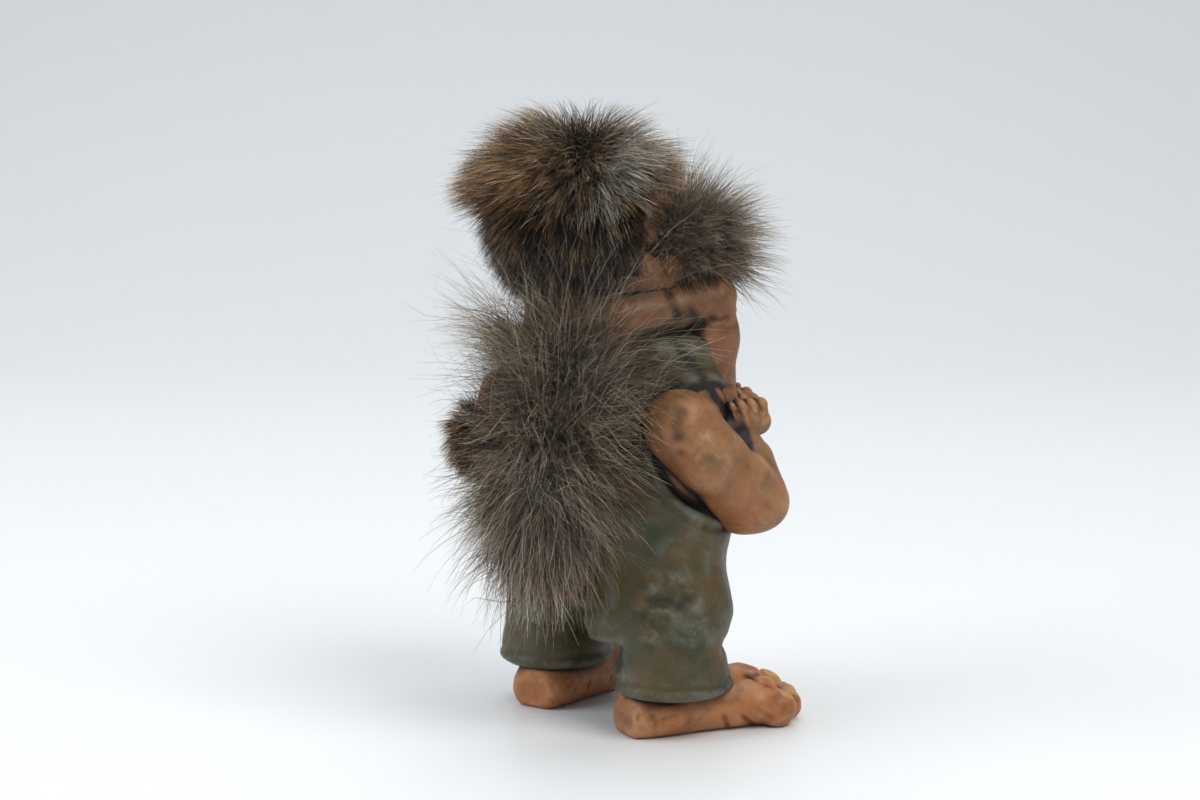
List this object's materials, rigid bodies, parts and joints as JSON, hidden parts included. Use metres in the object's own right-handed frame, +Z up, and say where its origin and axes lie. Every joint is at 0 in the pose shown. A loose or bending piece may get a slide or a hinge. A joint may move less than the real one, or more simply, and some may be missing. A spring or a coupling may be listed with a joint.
{
  "type": "norwegian troll figure",
  "caption": "Standing cast folk figure of a barefoot troll in dungarees that carries a troll child on its shoulders, with fur hair and tufted tails.",
  "frame": {"origin": "middle of the bounding box in plan, at the level of the soles", "axes": "+Z up, the figure faces -Y, its own left is +X"},
  "size_m": [0.1058, 0.112, 0.1965],
  "materials": {
    "painted_casting": "hand-painted cast latex, satin to matt, with a dark brown wash in its creases",
    "grey_fur": "long grey-brown natural fur, uncombed",
    "brown_fur": "dark brown natural fur with golden tips and a grey streak",
    "eye_glass": "glossy glass bead eye",
    "steel_wire": "plain drawn wire"
  },
  "bodies": {
    "root": {"adult_body": "painted_casting", "adult_head": "painted_casting", "adult_right_arm": "painted_casting", "adult_left_arm": "painted_casting", "adult_right_foot": "painted_casting", "adult_left_foot": "painted_casting", "adult_right_eye": "eye_glass", "adult_left_eye": "eye_glass", "adult_hair": "grey_fur", "adult_tail": "painted_casting", "adult_tail_wire": "steel_wire", "adult_tail_tuft": "grey_fur", "child_body": "painted_casting", "child_head": "painted_casting", "child_right_leg": "painted_casting", "child_left_leg": "painted_casting", "child_right_arm": "painted_casting", "child_left_arm": "painted_casting", "child_right_eye": "eye_glass", "child_left_eye": "eye_glass", "child_hair": "brown_fur", "child_tail": "painted_casting", "child_tail_wire": "steel_wire", "child_tail_tuft": "brown_fur", "ankle_dowels": "steel_wire", "shoulder_dowels": "steel_wire", "neck_dowel": "steel_wire", "child_seat_dowel": "steel_wire", "child_neck_dowel": "steel_wire", "child_limb_dowels": "steel_wire"}
  },
  "joints": []
}
